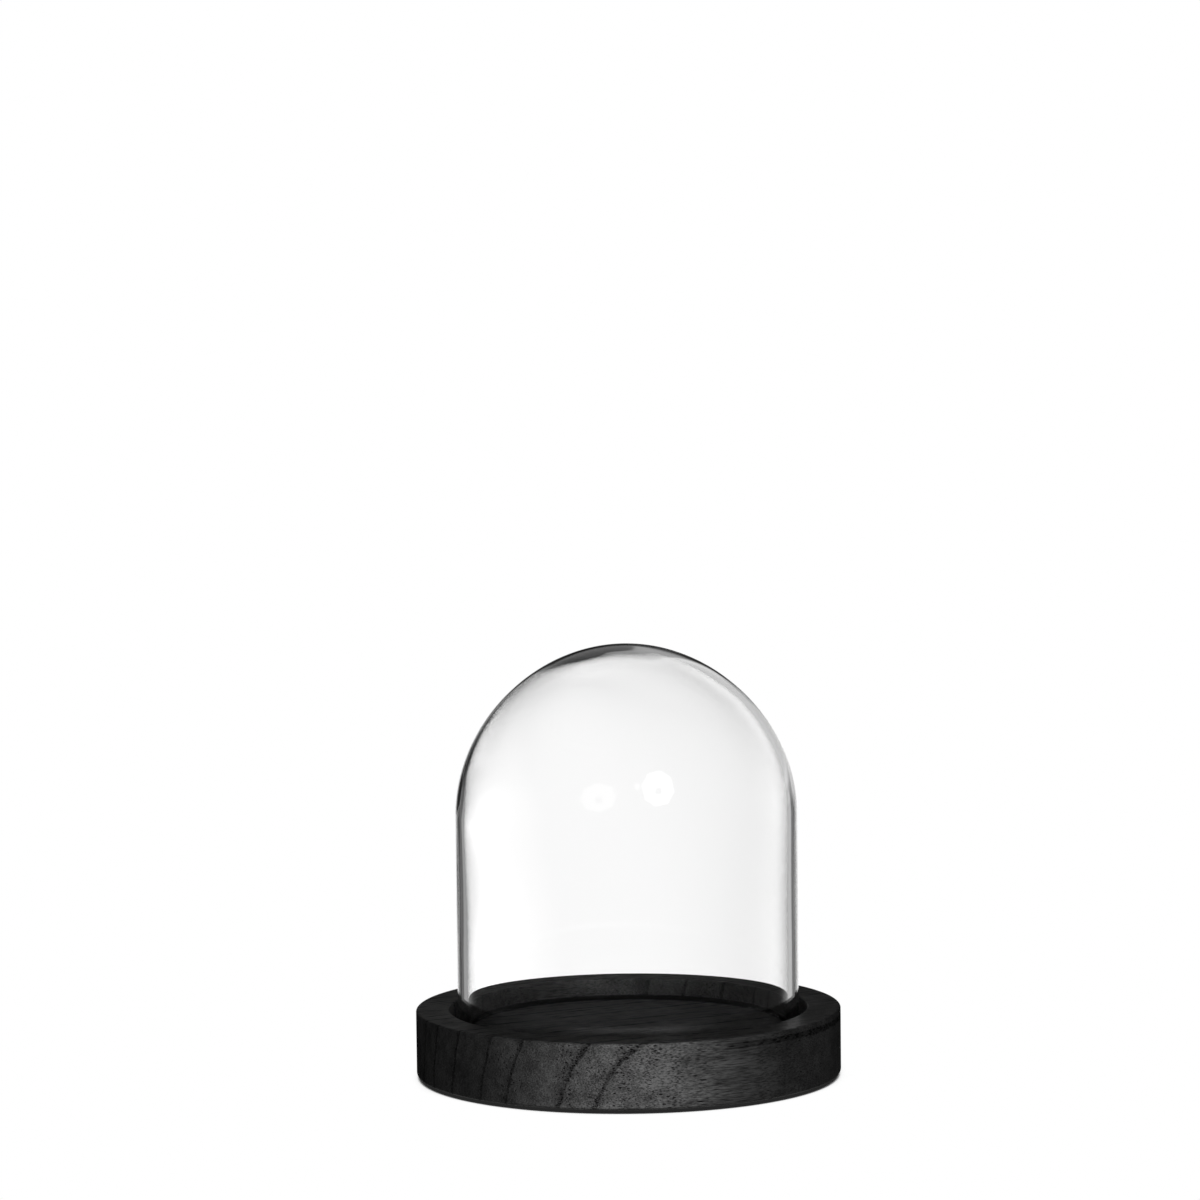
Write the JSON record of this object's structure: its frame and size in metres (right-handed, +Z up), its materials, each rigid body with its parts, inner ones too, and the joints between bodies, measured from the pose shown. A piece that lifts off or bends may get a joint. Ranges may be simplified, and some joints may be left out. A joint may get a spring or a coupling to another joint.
{
  "type": "bell jar dome",
  "caption": "Clear blown-glass dome with a half-ball top, standing loose in the dished top of a round black-stained wooden base.",
  "frame": {"origin": "centre of the plane that the felt pads stand on", "axes": "+Z up along the axis of the glass and the base; -Y is the side seen from the front"},
  "size_m": [0.1244, 0.1244, 0.1267],
  "materials": {
    "glass": "clear, fire-polished",
    "stained_wood": "black stain, satin, open grain",
    "felt": "pressed black felt"
  },
  "bodies": {
    "base": {"wooden_base": "stained_wood", "felt_pad_1": "felt", "felt_pad_2": "felt", "felt_pad_3": "felt", "felt_pad_4": "felt"},
    "dome": {"glass_dome": "glass"}
  },
  "joints": [
    {"name": "dome_lift", "type": "slide", "parent": "base", "child": "dome", "axis": [0, 0, 1], "range_m": [0, 0.12]}
  ]
}
